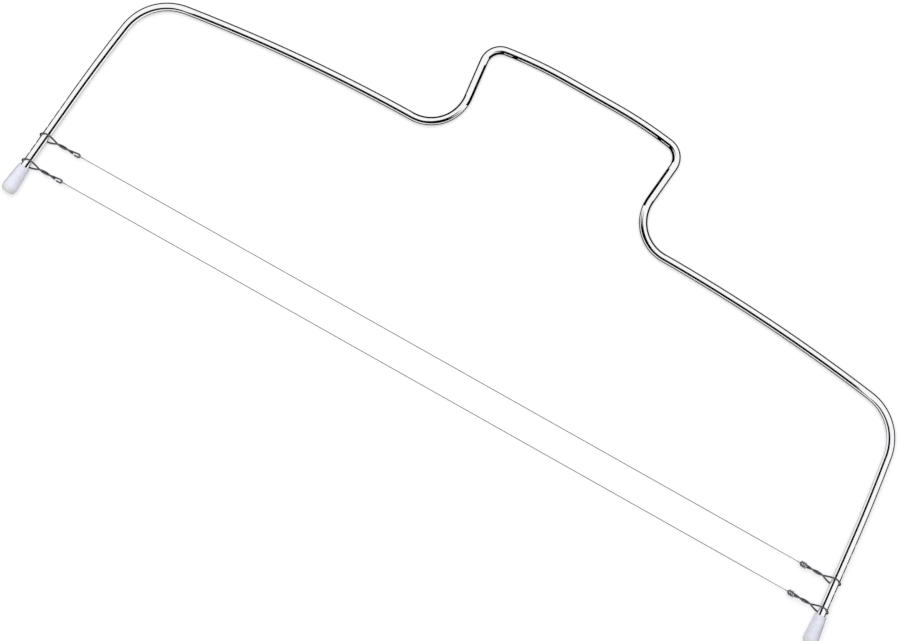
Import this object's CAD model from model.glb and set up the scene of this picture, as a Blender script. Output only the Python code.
# Cake leveler: one bent polished rod with soft caps on its feet, and two taut cutting wires
# that hook round its legs. Every path is worked out in millimetres in the rod's own plane,
# with the middle of the handle's top at the origin, and is then laid flat on the table.
import math

import bpy
from mathutils import Matrix, Vector


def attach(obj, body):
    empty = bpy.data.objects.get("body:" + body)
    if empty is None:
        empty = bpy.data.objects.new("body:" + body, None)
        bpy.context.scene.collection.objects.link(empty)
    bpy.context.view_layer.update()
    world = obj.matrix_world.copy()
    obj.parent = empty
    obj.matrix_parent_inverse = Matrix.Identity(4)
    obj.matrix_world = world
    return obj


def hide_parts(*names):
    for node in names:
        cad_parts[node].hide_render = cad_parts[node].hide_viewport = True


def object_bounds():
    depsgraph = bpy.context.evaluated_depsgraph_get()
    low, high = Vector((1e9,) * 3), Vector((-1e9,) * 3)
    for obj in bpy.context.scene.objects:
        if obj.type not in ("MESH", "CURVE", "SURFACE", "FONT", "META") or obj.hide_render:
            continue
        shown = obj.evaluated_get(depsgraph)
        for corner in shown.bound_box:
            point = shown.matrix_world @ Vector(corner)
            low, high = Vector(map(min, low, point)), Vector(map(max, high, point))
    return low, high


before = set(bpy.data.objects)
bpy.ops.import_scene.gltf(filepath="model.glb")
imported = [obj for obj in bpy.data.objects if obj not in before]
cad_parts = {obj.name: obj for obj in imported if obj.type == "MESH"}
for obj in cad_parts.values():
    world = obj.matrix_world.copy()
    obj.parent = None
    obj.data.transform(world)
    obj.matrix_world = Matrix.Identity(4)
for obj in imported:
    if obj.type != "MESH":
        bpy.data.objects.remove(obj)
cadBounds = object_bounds()
print("frame loaded:", len(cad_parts), "CAD nodes")


def linearColour(hexColour):
    # sRGB hex to the linear values that the shaders take
    channels = [int(hexColour[i:i + 2], 16) / 255 for i in (1, 3, 5)]
    return [c / 12.92 if c <= 0.04045 else ((c + 0.055) / 1.055) ** 2.4 for c in channels] + [1.0]


def addNode(tree, kind, settings=None, inputs=None):
    # inputs maps a socket's name or number to a plain value, or to the socket it is fed from
    node = tree.nodes.new(kind)
    node.location = (190 * (len(tree.nodes) % 12), -230 * (len(tree.nodes) // 12))
    for name, value in (settings or {}).items():
        setattr(node, name, value)
    for key, value in (inputs or {}).items():
        if isinstance(value, bpy.types.NodeSocket):
            tree.links.new(value, node.inputs[key])
        else:
            node.inputs[key].default_value = value
    return node


# Where things are

rod = {
    "diameter": 3.0,
    "sides": 40,
    "handleFlat": 20.0,
    "handleBow": (165.0, 8.1),        # bend radius, turn in degrees
    "handleCorner": (6.3, 87.8),
    "handleSide": 13.9,
    "handleRoot": (14.4, -95.5),
    "railBow": (650.0, 7.8),
    "shoulder": (19.0, 73.0),
    "legBow": (620.0, 3.0),
    "legEnd": 38.0,                   # straight lower leg, with the notches and the cap
    "bendStep": 1.5,                  # degrees from ring to ring round a bend
    "longStep": 2.5,                  # and at most this far apart
    "notchStep": 0.12,                # and this close where the notches are
    "notchCount": 8,
    "notchPitch": 3.7,
    "notchDepth": 0.3,
    "notchRadius": 0.6,
    "firstNotch": 12.55,              # from the cap's tip
    "lowerNotch": 0,
    "upperNotch": 3,
}

cap = {
    "length": 10.9,
    "diameter": 5.6,
    "rimDiameter": 4.3,
    "tipDiameter": 3.6,
    "shoulder": 2.4,
    "endWall": 1.6,
    "boreDiameter": 3.02,
    "edgeRound": 0.22,                # softened outer edge of the rim
    "boreBevel": 0.08,
    "facets": 96,
    "shoulderSteps": 24,
    "taperSteps": 8,
    "rimSteps": 6,
    "tipRing": 0.5,                   # a ring of points inside the flat tip, as a share of its radius
    "boreRing": 0.6,                  # and one down the bore, as a share of the cap's length
}

rodRadius = rod["diameter"] / 2


def poseAfter(pose, radius, amount):
    # a pose is x, y and heading in degrees; heading 0 is along +X and grows to the right
    x, y, heading = pose
    if radius == 0:
        return (x + amount * math.cos(math.radians(heading)),
                y - amount * math.sin(math.radians(heading)), heading)
    r = math.copysign(radius, amount)
    before, now = math.radians(heading), math.radians(heading + amount)
    return (x + r * (math.sin(now) - math.sin(before)),
            y + r * (math.cos(now) - math.cos(before)), heading + amount)


bends = [
    (0, rod["handleFlat"] / 2), rod["handleBow"], rod["handleCorner"], (0, rod["handleSide"]),
    rod["handleRoot"], rod["railBow"], rod["shoulder"], rod["legBow"], (0, rod["legEnd"]),
]

pose = (0.0, 0.0, 0.0)
rightHalf = [pose]
for number, (radius, amount) in enumerate(bends):
    longest = rod["notchStep"] if number == len(bends) - 1 else rod["longStep"]
    reach = amount if radius == 0 else abs(radius * math.radians(amount))
    steps = math.ceil(reach / longest)
    if radius:
        steps = max(steps, math.ceil(abs(amount) / rod["bendStep"]))
    rightHalf += [poseAfter(pose, radius, amount * i / steps) for i in range(1, steps + 1)]
    pose = rightHalf[-1]
rodEnd = pose


def legAt(fromTip):
    return poseAfter(rodEnd, 0, cap["endWall"] - fromTip)


tip = legAt(0)
seats = {
    "upper": legAt(rod["firstNotch"] + rod["upperNotch"] * rod["notchPitch"]),
    "lower": legAt(rod["firstNotch"] + rod["lowerNotch"] * rod["notchPitch"]),
}

# it lies on the caps and on the handle, and the caps are thicker, so it leans a little
lean = math.asin((cap["diameter"] / 2 - rodRadius) / (-tip[1] - cap["shoulder"]))
lowEdge = tip[1] * math.cos(lean) - cap["tipDiameter"] / 2 * math.cos(math.radians(tip[2]))
middle = (rodRadius + lowEdge) / 2
laidFlat = (Matrix.Scale(0.001, 4) @ Matrix.Translation((0, -middle, rodRadius))
            @ Matrix.Rotation(-lean, 4, "X"))
print("laid out: lean %.3f degrees, tip at %.2f, %.2f mm" % (math.degrees(lean), tip[0], tip[1]))


# Finishes

def newFinish(name):
    finish = bpy.data.materials.new(name)
    finish.use_nodes = True
    finish.node_tree.nodes.clear()
    return finish, finish.node_tree


noiseSpan = (0.3, 0.7)                # where most of a noise's values lie

rodFinish = {
    "darker": "#f0f1f2",
    "lighter": "#fcfcfd",
    "edge": "#303236",                # what the steel falls off to at a grazing look
    "roughness": (0.03, 0.07),
    "lineWidth": 0.12,                # mm; real draw lines are finer, and wouldn't show
    "lineLength": 30.0,               # mm
    "lineDepth": 0.0006,              # mm
    "lineStrength": 0.25,
    "lineDetail": 3.0,
    "lineBreakUp": 0.6,
    "lineShare": 0.6,                 # of the lines in the roughness, beside the clouds
    "cloudSize": 14.0,                # mm, uneven buffing
    "cloudDetail": 2.0,
    "bothSpan": (0.5, 1.1),           # where most values of lines and clouds together lie
}


def makeRodFinish():
    # Stainless round bar, drawn and buffed bright: mirror-like, with fine lines along its length
    # and a slight unevenness from the buffing wheel
    finish, tree = newFinish("buffedDrawnStainless")
    way = addNode(tree, "ShaderNodeAttribute", {"attribute_name": "rodWay"})
    lines = addNode(tree, "ShaderNodeVectorMath", {"operation": "MULTIPLY"}, {
        0: way.outputs["Vector"],
        1: (1 / rodFinish["lineWidth"], 1 / rodFinish["lineWidth"], 1 / rodFinish["lineLength"])})
    lineNoise = addNode(tree, "ShaderNodeTexNoise", inputs={
        "Vector": lines.outputs[0], "Scale": 1.0, "Detail": rodFinish["lineDetail"],
        "Roughness": rodFinish["lineBreakUp"]})
    clouds = addNode(tree, "ShaderNodeVectorMath", {"operation": "SCALE"}, {
        0: way.outputs["Vector"], "Scale": 1 / rodFinish["cloudSize"]})
    cloudNoise = addNode(tree, "ShaderNodeTexNoise", inputs={
        "Vector": clouds.outputs[0], "Scale": 1.0, "Detail": rodFinish["cloudDetail"]})
    both = addNode(tree, "ShaderNodeMath", {"operation": "MULTIPLY_ADD"}, {
        0: lineNoise.outputs["Fac"], 1: rodFinish["lineShare"], 2: cloudNoise.outputs["Fac"]})
    colour = addNode(tree, "ShaderNodeMix", {"data_type": "RGBA"}, {
        "Factor": cloudNoise.outputs["Fac"],
        6: linearColour(rodFinish["darker"]), 7: linearColour(rodFinish["lighter"])})
    roughness = addNode(tree, "ShaderNodeMapRange", inputs={
        "Value": both.outputs[0],
        "From Min": rodFinish["bothSpan"][0], "From Max": rodFinish["bothSpan"][1],
        "To Min": rodFinish["roughness"][0], "To Max": rodFinish["roughness"][1]})
    bump = addNode(tree, "ShaderNodeBump", inputs={
        "Strength": rodFinish["lineStrength"], "Distance": rodFinish["lineDepth"] / 1000,
        "Height": lineNoise.outputs["Fac"]})
    shader = addNode(tree, "ShaderNodeBsdfPrincipled", inputs={
        "Base Color": colour.outputs[2], "Metallic": 1.0, "Roughness": roughness.outputs[0],
        "Specular Tint": linearColour(rodFinish["edge"]), "Normal": bump.outputs[0]})
    addNode(tree, "ShaderNodeOutputMaterial", inputs={"Surface": shader.outputs[0]})
    return finish


springFinish = {
    "darker": "#434448",
    "lighter": "#74757a",
    "roughness": (0.26, 0.42),
    "lineWidth": 0.09,                # mm
    "lineLength": 6.0,                # mm
    "lineDepth": 0.004,               # mm
    "lineStrength": 0.3,
    "lineDetail": 3.0,
    "lineBreakUp": 0.6,
}


def makeSpringFinish():
    # Hard-drawn spring wire, not buffed: a dull grey skin from the drawing soap, with die lines
    # that run round the bends with the wire
    finish, tree = newFinish("dullDrawnSpringWire")
    way = addNode(tree, "ShaderNodeAttribute", {"attribute_name": "wireWay"})
    lines = addNode(tree, "ShaderNodeVectorMath", {"operation": "MULTIPLY"}, {
        0: way.outputs["Vector"],
        1: (1 / springFinish["lineWidth"], 1 / springFinish["lineWidth"], 1 / springFinish["lineLength"])})
    lineNoise = addNode(tree, "ShaderNodeTexNoise", inputs={
        "Vector": lines.outputs[0], "Scale": 1.0, "Detail": springFinish["lineDetail"],
        "Roughness": springFinish["lineBreakUp"]})
    colour = addNode(tree, "ShaderNodeMix", {"data_type": "RGBA"}, {
        "Factor": lineNoise.outputs["Fac"],
        6: linearColour(springFinish["darker"]), 7: linearColour(springFinish["lighter"])})
    roughness = addNode(tree, "ShaderNodeMapRange", inputs={
        "Value": lineNoise.outputs["Fac"], "From Min": noiseSpan[0], "From Max": noiseSpan[1],
        "To Min": springFinish["roughness"][0], "To Max": springFinish["roughness"][1]})
    bump = addNode(tree, "ShaderNodeBump", inputs={
        "Strength": springFinish["lineStrength"], "Distance": springFinish["lineDepth"] / 1000,
        "Height": lineNoise.outputs["Fac"]})
    shader = addNode(tree, "ShaderNodeBsdfPrincipled", inputs={
        "Base Color": colour.outputs[2], "Metallic": 1.0, "Roughness": roughness.outputs[0],
        "Normal": bump.outputs[0]})
    addNode(tree, "ShaderNodeOutputMaterial", inputs={"Surface": shader.outputs[0]})
    return finish


cutterFinish = {
    "darker": "#7e8084",
    "lighter": "#a6a8ac",
    "roughness": (0.16, 0.26),
    "lineWidth": 0.05,                # mm
    "lineLength": 12.0,               # mm
    "lineDetail": 2.0,
}


def makeCutterFinish():
    # Bright drawn stainless wire, as music wire comes off the die: clean and shiny but not buffed
    finish, tree = newFinish("brightDrawnStainlessWire")
    way = addNode(tree, "ShaderNodeAttribute", {"attribute_name": "wireWay"})
    lines = addNode(tree, "ShaderNodeVectorMath", {"operation": "MULTIPLY"}, {
        0: way.outputs["Vector"],
        1: (1 / cutterFinish["lineWidth"], 1 / cutterFinish["lineWidth"], 1 / cutterFinish["lineLength"])})
    lineNoise = addNode(tree, "ShaderNodeTexNoise", inputs={
        "Vector": lines.outputs[0], "Scale": 1.0, "Detail": cutterFinish["lineDetail"]})
    colour = addNode(tree, "ShaderNodeMix", {"data_type": "RGBA"}, {
        "Factor": lineNoise.outputs["Fac"],
        6: linearColour(cutterFinish["darker"]), 7: linearColour(cutterFinish["lighter"])})
    roughness = addNode(tree, "ShaderNodeMapRange", inputs={
        "Value": lineNoise.outputs["Fac"], "From Min": noiseSpan[0], "From Max": noiseSpan[1],
        "To Min": cutterFinish["roughness"][0], "To Max": cutterFinish["roughness"][1]})
    shader = addNode(tree, "ShaderNodeBsdfPrincipled", inputs={
        "Base Color": colour.outputs[2], "Metallic": 1.0, "Roughness": roughness.outputs[0]})
    addNode(tree, "ShaderNodeOutputMaterial", inputs={"Surface": shader.outputs[0]})
    return finish


capFinish = {
    "thick": "#d2d3e0",               # where the plastic is thickest
    "thin": "#ecedf6",
    "end": "#d6dbd8",                 # the solid end wall has no bright steel behind it
    "endReach": (0.7, 2.8),           # mm from the tip, over which the one turns into the other
    "roughness": (0.22, 0.34),
    "index": 1.51,
    "softness": 0.35,                 # mm that light wanders under the skin
    "softShare": 0.5,                 # of the light that does so
    "peelSize": 0.6,                  # mm, the faint waviness of the mould's surface
    "peelDepth": 0.006,               # mm
    "peelStrength": 0.3,
    "peelDetail": 1.0,
    "swirlSize": 4.0,                 # mm, uneven flow in the mould
    "swirlDetail": 2.0,
    "swirlBend": 0.8,
}


def makeCapFinish():
    # Low-density polyethylene, injection moulded without pigment: milky, waxy, and light wanders
    # under its skin
    finish, tree = newFinish("mouldedMilkyPolyethylene")
    place = addNode(tree, "ShaderNodeTexCoord")
    peel = addNode(tree, "ShaderNodeTexNoise", inputs={
        "Vector": place.outputs["Object"], "Scale": 1000 / capFinish["peelSize"],
        "Detail": capFinish["peelDetail"]})
    swirl = addNode(tree, "ShaderNodeTexNoise", inputs={
        "Vector": place.outputs["Object"], "Scale": 1000 / capFinish["swirlSize"],
        "Detail": capFinish["swirlDetail"], "Distortion": capFinish["swirlBend"]})
    colour = addNode(tree, "ShaderNodeMix", {"data_type": "RGBA"}, {
        "Factor": swirl.outputs["Fac"],
        6: linearColour(capFinish["thick"]), 7: linearColour(capFinish["thin"])})
    fromTip = addNode(tree, "ShaderNodeAttribute", {"attribute_name": "fromTip"})
    overSteel = addNode(tree, "ShaderNodeMapRange", {"interpolation_type": "SMOOTHSTEP"}, {
        "Value": fromTip.outputs["Fac"],
        "From Min": capFinish["endReach"][0], "From Max": capFinish["endReach"][1]})
    tinted = addNode(tree, "ShaderNodeMix", {"data_type": "RGBA"}, {
        "Factor": overSteel.outputs[0], 6: linearColour(capFinish["end"]), 7: colour.outputs[2]})
    roughness = addNode(tree, "ShaderNodeMapRange", inputs={
        "Value": swirl.outputs["Fac"], "From Min": noiseSpan[0], "From Max": noiseSpan[1],
        "To Min": capFinish["roughness"][0], "To Max": capFinish["roughness"][1]})
    bump = addNode(tree, "ShaderNodeBump", inputs={
        "Strength": capFinish["peelStrength"], "Distance": capFinish["peelDepth"] / 1000,
        "Height": peel.outputs["Fac"]})
    shader = addNode(tree, "ShaderNodeBsdfPrincipled", inputs={
        "Base Color": tinted.outputs[2], "Roughness": roughness.outputs[0], "IOR": capFinish["index"],
        "Subsurface Weight": capFinish["softShare"], "Subsurface Radius": (1.0, 1.0, 1.0),
        "Subsurface Scale": capFinish["softness"] / 1000, "Normal": bump.outputs[0]})
    addNode(tree, "ShaderNodeOutputMaterial", inputs={"Surface": shader.outputs[0]})
    return finish


finishes = {
    "rod": makeRodFinish(),
    "spring": makeSpringFinish(),
    "cutter": makeCutterFinish(),
    "cap": makeCapFinish(),
}
print("finishes made:", len(finishes))


# Sweeping

def newSweep(name, inputs):
    # an empty node tree with named inputs, for a path that comes in as a curve
    tree = bpy.data.node_groups.new(name, "GeometryNodeTree")
    tree.interface.new_socket("Path", in_out="INPUT", socket_type="NodeSocketGeometry")
    tree.interface.new_socket("Mesh", in_out="OUTPUT", socket_type="NodeSocketGeometry")
    for label, kind in inputs:
        tree.interface.new_socket(label, in_out="INPUT", socket_type=kind)
    return tree, addNode(tree, "NodeGroupInput")


def sweepPath(name, points, tree, values):
    # runs the tree on the path and returns a plain mesh object, laid flat in metres
    curve = bpy.data.curves.new(name + "Path", "CURVE")
    curve.dimensions = "3D"
    spline = curve.splines.new("POLY")
    spline.points.add(len(points) - 1)
    for point, place in zip(spline.points, points):
        point.co = (*place, 1.0)
    path = bpy.data.objects.new(name + "Path", curve)
    bpy.context.collection.objects.link(path)
    modifier = path.modifiers.new("sweep", "NODES")
    modifier.node_group = tree
    for item in tree.interface.items_tree:
        if item.in_out == "INPUT" and item.name in values:
            modifier[item.identifier] = values[item.name]
    depsgraph = bpy.context.evaluated_depsgraph_get()
    mesh = bpy.data.meshes.new_from_object(
        path.evaluated_get(depsgraph), preserve_all_data_layers=True, depsgraph=depsgraph)
    path.modifiers.remove(modifier)
    bpy.data.objects.remove(path)
    mesh.name = name
    mesh.transform(laidFlat)
    piece = bpy.data.objects.new(name, mesh)
    bpy.context.collection.objects.link(piece)
    return piece


# The rod

def makeRodSweep():
    tree, given = newSweep("rodSweep", [
        ("Rod Diameter", "NodeSocketFloat"), ("Sides", "NodeSocketInt"), ("End Wall", "NodeSocketFloat"),
        ("Notch Count", "NodeSocketInt"), ("Notch Pitch", "NodeSocketFloat"),
        ("Notch Depth", "NodeSocketFloat"), ("Notch Radius", "NodeSocketFloat"),
        ("First Notch", "NodeSocketFloat"), ("Finish", "NodeSocketMaterial")])
    # along the path: how far from the nearer foot's tip, which way is outward, and the centre line
    level = addNode(tree, "GeometryNodeSetCurveNormal", {"mode": "Z_UP"}, {"Curve": given.outputs["Path"]})
    parameter = addNode(tree, "GeometryNodeSplineParameter")
    whole = addNode(tree, "GeometryNodeSplineLength")
    rest = addNode(tree, "ShaderNodeMath", {"operation": "SUBTRACT"}, {
        0: whole.outputs["Length"], 1: parameter.outputs["Length"]})
    nearer = addNode(tree, "ShaderNodeMath", {"operation": "MINIMUM"}, {
        0: rest.outputs[0], 1: parameter.outputs["Length"]})
    fromTip = addNode(tree, "ShaderNodeMath", {"operation": "ADD"}, {
        0: nearer.outputs[0], 1: given.outputs["End Wall"]})
    tangent = addNode(tree, "GeometryNodeInputTangent")
    outward = addNode(tree, "ShaderNodeVectorMath", {"operation": "CROSS_PRODUCT"}, {
        0: (0.0, 0.0, 1.0), 1: tangent.outputs[0]})
    position = addNode(tree, "GeometryNodeInputPosition")
    keptTip = addNode(tree, "GeometryNodeCaptureAttribute", {"domain": "POINT"}, {
        "Geometry": level.outputs[0]})
    keptTip.capture_items.new("FLOAT", "fromTip")
    keptTip.capture_items.new("VECTOR", "outward")
    keptTip.capture_items.new("VECTOR", "centre")
    keptTip.capture_items.new("FLOAT", "along")
    tree.links.new(fromTip.outputs[0], keptTip.inputs["fromTip"])
    tree.links.new(outward.outputs[0], keptTip.inputs["outward"])
    tree.links.new(position.outputs[0], keptTip.inputs["centre"])
    tree.links.new(parameter.outputs["Length"], keptTip.inputs["along"])
    # the bar itself
    barRadius = addNode(tree, "ShaderNodeMath", {"operation": "DIVIDE"}, {
        0: given.outputs["Rod Diameter"], 1: 2.0})
    ring = addNode(tree, "GeometryNodeCurvePrimitiveCircle", {"mode": "RADIUS"}, {
        "Resolution": given.outputs["Sides"], "Radius": barRadius.outputs[0]})
    bar = addNode(tree, "GeometryNodeCurveToMesh", inputs={
        "Curve": keptTip.outputs["Geometry"], "Profile Curve": ring.outputs[0], "Fill Caps": True})
    offset = addNode(tree, "ShaderNodeVectorMath", {"operation": "SUBTRACT"}, {
        0: position.outputs[0], 1: keptTip.outputs["centre"]})
    reach = addNode(tree, "ShaderNodeVectorMath", {"operation": "DOT_PRODUCT"}, {
        0: offset.outputs[0], 1: keptTip.outputs["outward"]})
    # the nearest notch, and how far along the leg it is from this point
    pastFirst = addNode(tree, "ShaderNodeMath", {"operation": "SUBTRACT"}, {
        0: keptTip.outputs["fromTip"], 1: given.outputs["First Notch"]})
    inPitches = addNode(tree, "ShaderNodeMath", {"operation": "DIVIDE"}, {
        0: pastFirst.outputs[0], 1: given.outputs["Notch Pitch"]})
    nearest = addNode(tree, "ShaderNodeMath", {"operation": "ROUND"}, {0: inPitches.outputs[0]})
    lastNotch = addNode(tree, "ShaderNodeMath", {"operation": "SUBTRACT"}, {
        0: given.outputs["Notch Count"], 1: 1.0})
    counted = addNode(tree, "ShaderNodeClamp", inputs={
        "Value": nearest.outputs[0], "Min": 0.0, "Max": lastNotch.outputs[0]})
    aside = addNode(tree, "ShaderNodeMath", {"operation": "MULTIPLY"}, {
        0: counted.outputs[0], 1: given.outputs["Notch Pitch"]})
    away = addNode(tree, "ShaderNodeMath", {"operation": "SUBTRACT"}, {
        0: pastFirst.outputs[0], 1: aside.outputs[0]})
    # a round cutter: the bar keeps what lies inside centre - sqrt(radius^2 - away^2)
    awaySquared = addNode(tree, "ShaderNodeMath", {"operation": "MULTIPLY"}, {
        0: away.outputs[0], 1: away.outputs[0]})
    radiusSquared = addNode(tree, "ShaderNodeMath", {"operation": "MULTIPLY"}, {
        0: given.outputs["Notch Radius"], 1: given.outputs["Notch Radius"]})
    left = addNode(tree, "ShaderNodeMath", {"operation": "SUBTRACT"}, {
        0: radiusSquared.outputs[0], 1: awaySquared.outputs[0]})
    inside = addNode(tree, "ShaderNodeMath", {"operation": "MAXIMUM"}, {0: left.outputs[0], 1: 0.0})
    bite = addNode(tree, "ShaderNodeMath", {"operation": "SQRT"}, {0: inside.outputs[0]})
    cutterCentre = addNode(tree, "ShaderNodeMath", {"operation": "SUBTRACT"}, {
        0: barRadius.outputs[0], 1: given.outputs["Notch Depth"]})
    cutterOut = addNode(tree, "ShaderNodeMath", {"operation": "ADD"}, {
        0: cutterCentre.outputs[0], 1: given.outputs["Notch Radius"]})
    limit = addNode(tree, "ShaderNodeMath", {"operation": "SUBTRACT"}, {
        0: cutterOut.outputs[0], 1: bite.outputs[0]})
    kept = addNode(tree, "ShaderNodeMath", {"operation": "MINIMUM"}, {
        0: limit.outputs[0], 1: reach.outputs["Value"]})
    push = addNode(tree, "ShaderNodeMath", {"operation": "SUBTRACT"}, {
        0: kept.outputs[0], 1: reach.outputs["Value"]})
    move = addNode(tree, "ShaderNodeVectorMath", {"operation": "SCALE"}, {
        0: keptTip.outputs["outward"], "Scale": push.outputs[0]})
    notched = addNode(tree, "GeometryNodeSetPosition", inputs={
        "Geometry": bar.outputs[0], "Offset": move.outputs[0]})
    # what the draw lines follow: outward, upward and along, in millimetres
    split = addNode(tree, "ShaderNodeSeparateXYZ", inputs={0: offset.outputs[0]})
    joined = addNode(tree, "ShaderNodeCombineXYZ", inputs={
        "X": reach.outputs["Value"], "Y": split.outputs["Z"], "Z": keptTip.outputs["along"]})
    stored = addNode(tree, "GeometryNodeStoreNamedAttribute", {"data_type": "FLOAT_VECTOR"}, {
        "Geometry": notched.outputs[0], "Name": "rodWay", "Value": joined.outputs[0]})
    smooth = addNode(tree, "GeometryNodeSetShadeSmooth", inputs={"Geometry": stored.outputs[0]})
    real = addNode(tree, "GeometryNodeRealizeInstances", inputs={"Geometry": smooth.outputs[0]})
    finished = addNode(tree, "GeometryNodeSetMaterial", inputs={
        "Geometry": real.outputs[0], "Material": given.outputs["Finish"]})
    addNode(tree, "NodeGroupOutput", inputs={"Mesh": finished.outputs[0]})
    return tree


rodPath = ([(-x, y, 0.0) for x, y, heading in reversed(rightHalf[1:])]
           + [(x, y, 0.0) for x, y, heading in rightHalf])
bentRod = sweepPath("bentRod", rodPath, makeRodSweep(), {
    "Rod Diameter": rod["diameter"], "Sides": rod["sides"], "End Wall": cap["endWall"],
    "Notch Count": rod["notchCount"], "Notch Pitch": rod["notchPitch"],
    "Notch Depth": rod["notchDepth"], "Notch Radius": rod["notchRadius"],
    "First Notch": rod["firstNotch"], "Finish": finishes["rod"]})
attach(bentRod, "frame")
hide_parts("frame")
print("rod bent:", len(bentRod.data.polygons), "faces")


# The caps

def capProfile():
    # radius and height above the tip, from the middle of the flat tip round to the bore's end
    tipRadius, fullRadius = cap["tipDiameter"] / 2, cap["diameter"] / 2
    rimRadius, boreRadius = cap["rimDiameter"] / 2, cap["boreDiameter"] / 2
    soft = cap["edgeRound"]
    points = [(0.0, 0.0), (tipRadius * cap["tipRing"], 0.0)]
    for step in range(cap["shoulderSteps"] + 1):
        angle = math.radians(90 * step / cap["shoulderSteps"])
        points.append((tipRadius + (fullRadius - tipRadius) * math.sin(angle),
                       cap["shoulder"] * (1 - math.cos(angle))))
    # straight taper up to the softened rim
    slope = (rimRadius - fullRadius) / (cap["length"] - cap["shoulder"])
    for step in range(1, cap["taperSteps"] + 1):
        height = cap["shoulder"] + (cap["length"] - soft - cap["shoulder"]) * step / cap["taperSteps"]
        points.append((fullRadius + slope * (height - cap["shoulder"]), height))
    outer = points[-1][0]
    for step in range(1, cap["rimSteps"] + 1):
        angle = math.radians(90 * step / cap["rimSteps"])
        points.append((outer - soft * (1 - math.cos(angle)), cap["length"] - soft + soft * math.sin(angle)))
    points += [(boreRadius + cap["boreBevel"], cap["length"]),
               (boreRadius, cap["length"] - cap["boreBevel"]),
               (boreRadius, cap["length"] * cap["boreRing"]), (boreRadius, cap["endWall"]),
               (0.0, cap["endWall"])]
    return points


def makeCap(name, side):
    profile = capProfile()
    heading = math.radians(tip[2])
    upLeg = Vector((-math.cos(heading) * side, math.sin(heading), 0.0))
    across = Vector((math.sin(heading) * side, math.cos(heading), 0.0))
    above = Vector((0.0, 0.0, 1.0))
    foot = Vector((tip[0] * side, tip[1], 0.0))
    facets = cap["facets"]
    places, faces = [foot + upLeg * profile[0][1]], []
    for radius, height in profile[1:-1]:
        for i in range(facets):
            turn = 2 * math.pi * i / facets
            places.append(foot + upLeg * height + (across * math.cos(turn) + above * math.sin(turn)) * radius)
    places.append(foot + upLeg * profile[-1][1])
    last = len(places) - 1
    rows = len(profile) - 2
    for i in range(facets):
        following = (i + 1) % facets
        faces.append((0, 1 + following, 1 + i))
        for row in range(rows - 1):
            start = 1 + row * facets
            faces.append((start + i, start + following, start + facets + following, start + facets + i))
        start = 1 + (rows - 1) * facets
        faces.append((start + i, start + following, last))
    if side > 0:
        faces = [tuple(reversed(face)) for face in faces]
    mesh = bpy.data.meshes.new(name)
    mesh.from_pydata(places, [], faces)
    heights = mesh.attributes.new("fromTip", "FLOAT", "POINT")
    heights.data.foreach_set("value", [(place - foot).dot(upLeg) for place in places])
    mesh.transform(laidFlat)
    mesh.materials.append(finishes["cap"])
    mesh.shade_smooth()
    piece = bpy.data.objects.new(name, mesh)
    bpy.context.collection.objects.link(piece)
    return piece


for sideName, side in (("left", -1), ("right", 1)):
    footCap = makeCap(sideName + "FootCap", side)
    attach(footCap, "frame")
    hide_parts(sideName + "_cap")
print("caps turned: 2")


# Hooks and cutting wires

hook = {
    "diameter": 0.6,
    "sides": 14,
    "smoothSteps": 5,
    "shankSteps": 20,
    "eyeSteps": 14,
    "eyeTurnStep": 11.25,             # degrees
    "smallEyeTurnStep": 15,
    "eyeGap": 0.1,                    # clearance round the rod
    "eyeLength": 5.2,
    "eyeRise": 1.2,                   # how far the eye's strands stand off the wire's line
    "eyeSkew": 0.7,
    "shankLength": 6.4,
    "shankTwist": -270.0,
    "strandGap": 0.04,
    "smallEyeLength": 2.9,
    "smallEyeSlot": 0.5,
}

cutter = {
    "diameter": 0.3,
    "sides": 12,
    "leadSteps": 16,
    "windSteps": 48,
    "loopTurnStep": 7.5,              # degrees
    "tieGap": 0.05,
    "windTurns": 3,
    "windPitch": 0.75,
    "windFlatness": 1.6,
    "tailLength": 3.0,
    "tailOffset": 0.75,
    "leadLength": 1.6,
}

hookRadius = hook["diameter"] / 2
cutterRadius = cutter["diameter"] / 2
eyeRadius = rodRadius + hookRadius + hook["eyeGap"]
topNotch = legAt(rod["firstNotch"] + (rod["notchCount"] - 1) * rod["notchPitch"])
eyeHold = seats["upper"][0] - topNotch[0] + hook["eyeGap"]
strandRadius = hookRadius + hook["strandGap"] / 2
shankEnd = hook["eyeLength"] + hook["shankLength"]
slotHalf = hook["smallEyeSlot"] / 2 + hookRadius
smallEyeEnd = shankEnd + hook["smallEyeLength"] - hookRadius


def ease(t):
    return t * t * (3 - 2 * t)


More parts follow.
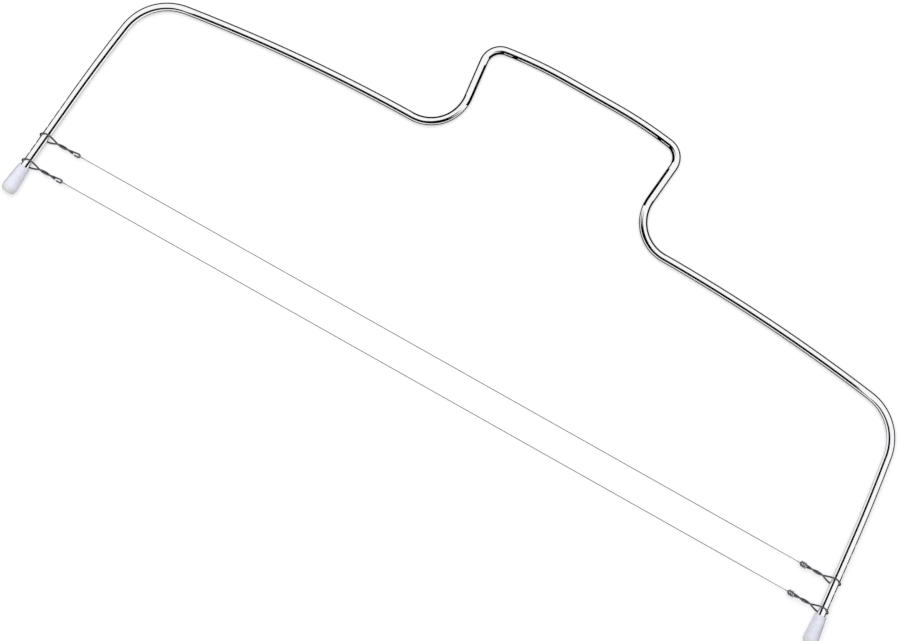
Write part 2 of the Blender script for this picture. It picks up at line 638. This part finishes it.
def makeWireSweep():
    tree, given = newSweep("wireSweep", [
        ("Wire Diameter", "NodeSocketFloat"), ("Sides", "NodeSocketInt"),
        ("Smooth Steps", "NodeSocketInt"), ("Finish", "NodeSocketMaterial")])
    bezier = addNode(tree, "GeometryNodeCurveSplineType", {"spline_type": "BEZIER"}, {
        "Curve": given.outputs["Path"]})
    rounded = addNode(tree, "GeometryNodeCurveSetHandles", {"handle_type": "AUTO"}, {
        "Curve": bezier.outputs[0]})
    fine = addNode(tree, "GeometryNodeSetSplineResolution", inputs={
        "Geometry": rounded.outputs[0], "Resolution": given.outputs["Smooth Steps"]})
    plain = addNode(tree, "GeometryNodeCurveSplineType", {"spline_type": "POLY"}, {
        "Curve": fine.outputs[0]})
    steady = addNode(tree, "GeometryNodeSetCurveNormal", {"mode": "MINIMUM_TWIST"}, {
        "Curve": plain.outputs[0]})
    parameter = addNode(tree, "GeometryNodeSplineParameter")
    position = addNode(tree, "GeometryNodeInputPosition")
    tangent = addNode(tree, "GeometryNodeInputTangent")
    normal = addNode(tree, "GeometryNodeInputNormal")
    across = addNode(tree, "ShaderNodeVectorMath", {"operation": "CROSS_PRODUCT"}, {
        0: tangent.outputs[0], 1: normal.outputs[0]})
    kept = addNode(tree, "GeometryNodeCaptureAttribute", {"domain": "POINT"}, {
        "Geometry": steady.outputs[0]})
    for kind, label, source in (("VECTOR", "centre", position.outputs[0]),
                                ("VECTOR", "normal", normal.outputs[0]),
                                ("VECTOR", "across", across.outputs[0]),
                                ("FLOAT", "along", parameter.outputs["Length"])):
        kept.capture_items.new(kind, label)
        tree.links.new(source, kept.inputs[label])
    radius = addNode(tree, "ShaderNodeMath", {"operation": "DIVIDE"}, {
        0: given.outputs["Wire Diameter"], 1: 2.0})
    ring = addNode(tree, "GeometryNodeCurvePrimitiveCircle", {"mode": "RADIUS"}, {
        "Resolution": given.outputs["Sides"], "Radius": radius.outputs[0]})
    wire = addNode(tree, "GeometryNodeCurveToMesh", inputs={
        "Curve": kept.outputs["Geometry"], "Profile Curve": ring.outputs[0], "Fill Caps": True})
    # what the die lines follow: round the wire, and along it, in millimetres
    offset = addNode(tree, "ShaderNodeVectorMath", {"operation": "SUBTRACT"}, {
        0: position.outputs[0], 1: kept.outputs["centre"]})
    first = addNode(tree, "ShaderNodeVectorMath", {"operation": "DOT_PRODUCT"}, {
        0: offset.outputs[0], 1: kept.outputs["normal"]})
    second = addNode(tree, "ShaderNodeVectorMath", {"operation": "DOT_PRODUCT"}, {
        0: offset.outputs[0], 1: kept.outputs["across"]})
    joined = addNode(tree, "ShaderNodeCombineXYZ", inputs={
        "X": first.outputs["Value"], "Y": second.outputs["Value"], "Z": kept.outputs["along"]})
    stored = addNode(tree, "GeometryNodeStoreNamedAttribute", {"data_type": "FLOAT_VECTOR"}, {
        "Geometry": wire.outputs[0], "Name": "wireWay", "Value": joined.outputs[0]})
    smooth = addNode(tree, "GeometryNodeSetShadeSmooth", inputs={"Geometry": stored.outputs[0]})
    real = addNode(tree, "GeometryNodeRealizeInstances", inputs={"Geometry": smooth.outputs[0]})
    finished = addNode(tree, "GeometryNodeSetMaterial", inputs={
        "Geometry": real.outputs[0], "Material": given.outputs["Finish"]})
    addNode(tree, "NodeGroupOutput", inputs={"Mesh": finished.outputs[0]})
    return tree


wireSweep = makeWireSweep()


def degreesFrom(start, stop, step):
    count = round((stop - start) / step)
    return [math.radians(start + (stop - start) * i / count) for i in range(count + 1)]


def eyeDepth(x):
    if x <= eyeHold:
        return eyeRadius
    return eyeRadius + (strandRadius - eyeRadius) * ease((x - eyeHold) / (hook["eyeLength"] - eyeHold))


def eyeSide(x):
    part = (x + eyeRadius) / (hook["eyeLength"] + eyeRadius)
    return hook["eyeRise"] * math.sin(math.pi * max(part, 0.0) ** hook["eyeSkew"])


def strandAt(x, start):
    turn = math.radians(start + hook["shankTwist"] * (x - hook["eyeLength"]) / hook["shankLength"])
    return (x, strandRadius * math.cos(turn), strandRadius * math.sin(turn))


def hookPath(seat, side):
    # one wire: a small flat eye, a strand of the shank, back under the rod, round its outer
    # side, over its front and down the other strand
    shankSteps, eyeSteps = hook["shankSteps"], hook["eyeSteps"]
    points = [(shankEnd + hook["diameter"], -slotHalf, 0.0)]
    points += [(smallEyeEnd - slotHalf + slotHalf * math.cos(a), slotHalf * math.sin(a), 0.0)
               for a in degreesFrom(-90, 90, hook["smallEyeTurnStep"])]
    points.append((shankEnd + 2 * hook["diameter"], slotHalf, 0.0))
    points += [strandAt(hook["eyeLength"] + hook["shankLength"] * i / shankSteps, 270)
               for i in range(shankSteps, 0, -1)]
    for i in range(eyeSteps, 0, -1):
        x = hook["eyeLength"] * i / eyeSteps
        points.append((x, -eyeSide(x), -eyeDepth(x)))
    for a in degreesFrom(-90, 90, hook["eyeTurnStep"]):
        x = -eyeRadius * math.cos(a)
        points.append((x, math.copysign(eyeSide(x), a), eyeRadius * math.sin(a)))
    for i in range(1, eyeSteps + 1):
        x = hook["eyeLength"] * i / eyeSteps
        points.append((x, eyeSide(x), eyeDepth(x)))
    points += [strandAt(hook["eyeLength"] + hook["shankLength"] * i / shankSteps, 90)
               for i in range(1, shankSteps + 1)]
    return [(side * (seat[0] - x), seat[1] + y, z) for x, y, z in points]


def cuttingPath(seat):
    # through the left small eye, round its end and back behind itself; at the right small eye
    # it is wound round both of the eye's strands
    tieRadius = hookRadius + cutterRadius + cutter["tieGap"]
    leadSteps, windSteps = cutter["leadSteps"], cutter["windSteps"]
    left = smallEyeEnd - seat[0]
    right = seat[0] - smallEyeEnd + cutterRadius
    leadStep = cutter["leadLength"] / leadSteps
    points = [(left + cutter["leadLength"] + cutter["tailLength"], 0.0, -cutter["tailOffset"])]
    points += [(left + leadStep * i, 0.0,
                -tieRadius - (cutter["tailOffset"] - tieRadius) * ease(i / leadSteps))
               for i in range(leadSteps, 0, -1)]
    points += [(left - tieRadius * math.cos(a), 0.0, tieRadius * math.sin(a))
               for a in degreesFrom(-90, 90, cutter["loopTurnStep"])]
    points += [(left + leadStep * i, 0.0, tieRadius * (1 - ease(i / leadSteps)))
               for i in range(1, leadSteps + 1)]
    points += [(right - leadStep * i, 0.0, tieRadius * (1 - ease(i / leadSteps)))
               for i in range(leadSteps, 0, -1)]
    for i in range(cutter["windTurns"] * windSteps + 1):
        a = 2 * math.pi * i / windSteps
        lobe = slotHalf * max(-1.0, min(1.0, cutter["windFlatness"] * math.sin(a)))
        points.append((right + cutter["windPitch"] * i / windSteps, lobe + tieRadius * math.sin(a),
                       tieRadius * math.cos(a)))
    return [(x, y + seat[1], z) for x, y, z in points]


for level, seat in seats.items():
    for sideName, side in (("left", -1), ("right", 1)):
        wireHook = sweepPath(level + sideName.capitalize() + "WireHook", hookPath(seat, side), wireSweep, {
            "Wire Diameter": hook["diameter"], "Sides": hook["sides"],
            "Smooth Steps": hook["smoothSteps"], "Finish": finishes["spring"]})
        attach(wireHook, level + "_wire")
        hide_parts(level + "_" + sideName + "_hook")
    tautWire = sweepPath(level + "TautWire", cuttingPath(seat), wireSweep, {
        "Wire Diameter": cutter["diameter"], "Sides": cutter["sides"],
        "Smooth Steps": 1, "Finish": finishes["cutter"]})
    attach(tautWire, level + "_wire")
    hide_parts(level + "_cutting_wire")
    print(level, "wire and its hooks made:", len(tautWire.data.polygons), "faces in the wire")


# Table, light and camera

studio = {
    "tableSize": 3.0,                 # m
    "tableColour": "#c6c6c8",
    "tableTopUp": 0.44,               # brings the lit table up to white
    "fillStrength": 0.32,             # the room's share of the light
    "lampPlace": (-0.12, 0.15, 0.9),  # m
    "lampSize": 0.9,                  # m
    "lampPower": 9.0,                 # W
}

table = bpy.data.meshes.new("tableTop")
half = studio["tableSize"] / 2
low = cadBounds[0][2]
table.from_pydata([(-half, -half, low), (half, -half, low), (half, half, low), (-half, half, low)],
                  [], [(0, 1, 2, 3)])
tableTop = bpy.data.objects.new("tableTop", table)
bpy.context.collection.objects.link(tableTop)


def makeTableFinish():
    # White laminate: matt and even. It is topped up to white for what the camera, the metal and
    # the plastic see of it, and keeps the tool's shadow
    finish, tree = newFinish("mattWhiteLaminate")
    seen = addNode(tree, "ShaderNodeLightPath")
    direct = addNode(tree, "ShaderNodeMath", {"operation": "MAXIMUM"}, {
        0: seen.outputs["Is Camera Ray"], 1: seen.outputs["Is Glossy Ray"]})
    anySeen = addNode(tree, "ShaderNodeMath", {"operation": "MAXIMUM"}, {
        0: direct.outputs[0], 1: seen.outputs["Is Transmission Ray"]})
    strength = addNode(tree, "ShaderNodeMath", {"operation": "MULTIPLY"}, {
        0: anySeen.outputs[0], 1: studio["tableTopUp"]})
    matt = addNode(tree, "ShaderNodeBsdfDiffuse", inputs={"Color": linearColour(studio["tableColour"])})
    glow = addNode(tree, "ShaderNodeEmission", inputs={"Strength": strength.outputs[0]})
    both = addNode(tree, "ShaderNodeAddShader", inputs={0: matt.outputs[0], 1: glow.outputs[0]})
    addNode(tree, "ShaderNodeOutputMaterial", inputs={"Surface": both.outputs[0]})
    return finish


tableTop.data.materials.append(makeTableFinish())


def makeRoom():
    # a plain white room, dimmer as a source of light than it looks
    room = bpy.data.worlds.new("whiteRoom")
    room.use_nodes = True
    room.cycles.sampling_method = "NONE"    # it is even, so nothing in it has to be aimed at
    tree = room.node_tree
    tree.nodes.clear()
    seen = addNode(tree, "ShaderNodeLightPath")
    direct = addNode(tree, "ShaderNodeMath", {"operation": "MAXIMUM"}, {
        0: seen.outputs["Is Camera Ray"], 1: seen.outputs["Is Glossy Ray"]})
    anySeen = addNode(tree, "ShaderNodeMath", {"operation": "MAXIMUM"}, {
        0: direct.outputs[0], 1: seen.outputs["Is Transmission Ray"]})
    strength = addNode(tree, "ShaderNodeMapRange", inputs={
        "Value": anySeen.outputs[0], "To Min": studio["fillStrength"], "To Max": 1.0})
    glow = addNode(tree, "ShaderNodeBackground", inputs={
        "Color": (1.0, 1.0, 1.0, 1.0), "Strength": strength.outputs[0]})
    addNode(tree, "ShaderNodeOutputWorld", inputs={"Surface": glow.outputs[0]})
    return room


bpy.context.scene.world = makeRoom()

# Black cards, as a photographer sets round bright metal to give it its dark lines. Only gloss
# rays see them. Sizes are in millimetres on the table, from the tool's middle.
cards = {
    "colour": "#0b0b0c",
    "handleCard": {"x": (-40, 40), "y": (-300, 33), "up": 130},    # the line along the handle's top
    "upright": (                      # the bold line inside the handle's sides: from, to, this high
        {"from": (-28, 40), "to": (-28, 58), "up": 10.5},
        {"from": (28, 40), "to": (28, 58), "up": 10.5},
    ),
    "roofUp": 40.0,                   # a card over the inside, its edge a little inside the rod
    "roofBottom": -110.0,
    "roofInsideRail": 8.4,
    "roofInsideLeg": {-1: 15.0, 1: 18.5},    # left and right
    "fenceOut": 16.0,                 # a low fence round the outside
    "fenceUp": 4.7,
    "fenceUpAtRoot": 9.0,
    "rootWidth": 7.5,                 # it rises this far to each side of the root's middle
    "stripInside": 12.0,              # and a strip under the rod, narrower inside the legs
    "stripInsideLeg": 2.5,
    "stripUp": 0.02,
    "pathStep": 6,                    # they follow every sixth place on the rod's path
}


def makeCard(name, corners, faces):
    mesh = bpy.data.meshes.new(name)
    mesh.from_pydata([[c / 1000 for c in corner] for corner in corners], [], faces)
    finish, tree = newFinish(name + "Paper")
    black = addNode(tree, "ShaderNodeBsdfDiffuse", inputs={"Color": linearColour(cards["colour"])})
    addNode(tree, "ShaderNodeOutputMaterial", inputs={"Surface": black.outputs[0]})
    mesh.materials.append(finish)
    card = bpy.data.objects.new(name, mesh)
    bpy.context.collection.objects.link(card)
    card.visible_camera = False
    card.visible_diffuse = False
    card.visible_transmission = False
    card.visible_shadow = False


# the handle's root turns the other way, so the heading falls there and then grows again
rootNumber = next(i for i, (x, y, heading) in enumerate(rightHalf) if i and heading < rightHalf[i - 1][2])
railNumber = next(i for i, (x, y, heading) in enumerate(rightHalf)
                  if i > rootNumber and heading > rightHalf[i - 1][2])
rootX = (rightHalf[rootNumber][0] + rightHalf[railNumber][0]) / 2


def legShare(place):
    # 0 on the handle and the rails, 1 on the legs
    x, y, heading = place
    return ease(min(1.0, max(0.0, heading / rod["shoulder"][1]))) if x > rootX else 0.0


def aside(place, side, reach):
    # a place on the table beside the rod, outward for a reach above zero
    x, y, heading = place
    turned = math.radians(heading)
    return ((x + math.sin(turned) * reach) * side, y + math.cos(turned) * reach - middle)


def makeStripAndFence():
    corners, faces = [], []
    floor = low * 1000 + cards["stripUp"]
    for side in (-1, 1):
        first = len(corners)
        for place in rightHalf[::cards["pathStep"]]:
            inside = cards["stripInside"] + (
                cards["stripInsideLeg"] - cards["stripInside"]) * legShare(place)
            nearRoot = max(0.0, 1 - abs(place[0] - rootX) / cards["rootWidth"])
            top = cards["fenceUp"] + (cards["fenceUpAtRoot"] - cards["fenceUp"]) * ease(nearRoot)
            corners += [(*aside(place, side, -inside), floor),
                        (*aside(place, side, cards["fenceOut"]), floor),
                        (*aside(place, side, cards["fenceOut"]), top)]
        for i in range(first, len(corners) - 3, 3):
            faces += [(i, i + 1, i + 4, i + 3), (i + 1, i + 2, i + 5, i + 4)]
    makeCard("stripAndFence", corners, faces)


def makeRoof():
    # one card over the inside of the tool, open towards the feet
    halves = {}
    for side in (-1, 1):
        halves[side] = []
        for place in rightHalf[railNumber::cards["pathStep"]]:
            inside = cards["roofInsideRail"] + (
                cards["roofInsideLeg"][side] - cards["roofInsideRail"]) * legShare(place)
            halves[side].append((*aside(place, side, -inside), cards["roofUp"]))
        halves[side].append((halves[side][-1][0], cards["roofBottom"], cards["roofUp"]))
    corners = halves[1] + halves[-1][::-1]
    makeCard("roofCard", corners, [tuple(range(len(corners)))])


makeStripAndFence()
makeRoof()
(x0, x1), (y0, y1), up = (cards["handleCard"][key] for key in ("x", "y", "up"))
makeCard("handleCard", [(x0, y0, up), (x1, y0, up), (x1, y1, up), (x0, y1, up)], [(0, 1, 2, 3)])
for number, spot in enumerate(cards["upright"]):
    (x0, y0), (x1, y1), up = spot["from"], spot["to"], spot["up"]
    makeCard("uprightCard%d" % (number + 1), [(x0, y0, 0), (x1, y1, 0), (x1, y1, up), (x0, y0, up)],
             [(0, 1, 2, 3)])

lampData = bpy.data.lights.new("overheadSoftbox", "AREA")
lampData.shape = "SQUARE"
lampData.size = studio["lampSize"]
lampData.energy = studio["lampPower"]
lamp = bpy.data.objects.new("overheadSoftbox", lampData)
lamp.location = studio["lampPlace"]
lamp.rotation_euler = (Vector((0, 0, 0)) - lamp.location).to_track_quat("-Z", "Y").to_euler()
lamp.visible_glossy = False           # bright metal picks up the white room instead, and the cards
bpy.context.collection.objects.link(lamp)

view = {
    "place": (-0.00491, -0.02233, 0.7836),
    "turn": (-0.492, 0.188, 29.408),  # degrees
    "lens": 87.82,                    # mm
    "sensor": 36.0,                   # mm
    "nearest": 0.01,                  # m
}
cameraData = bpy.data.cameras.new("photoCamera")
cameraData.lens = view["lens"]
cameraData.sensor_width = view["sensor"]
cameraData.clip_start = view["nearest"]
camera = bpy.data.objects.new("photoCamera", cameraData)
camera.location = view["place"]
camera.rotation_euler = [math.radians(angle) for angle in view["turn"]]
bpy.context.collection.objects.link(camera)
bpy.context.scene.camera = camera
bpy.context.scene.view_settings.view_transform = "Standard"
print("table, light and camera set")
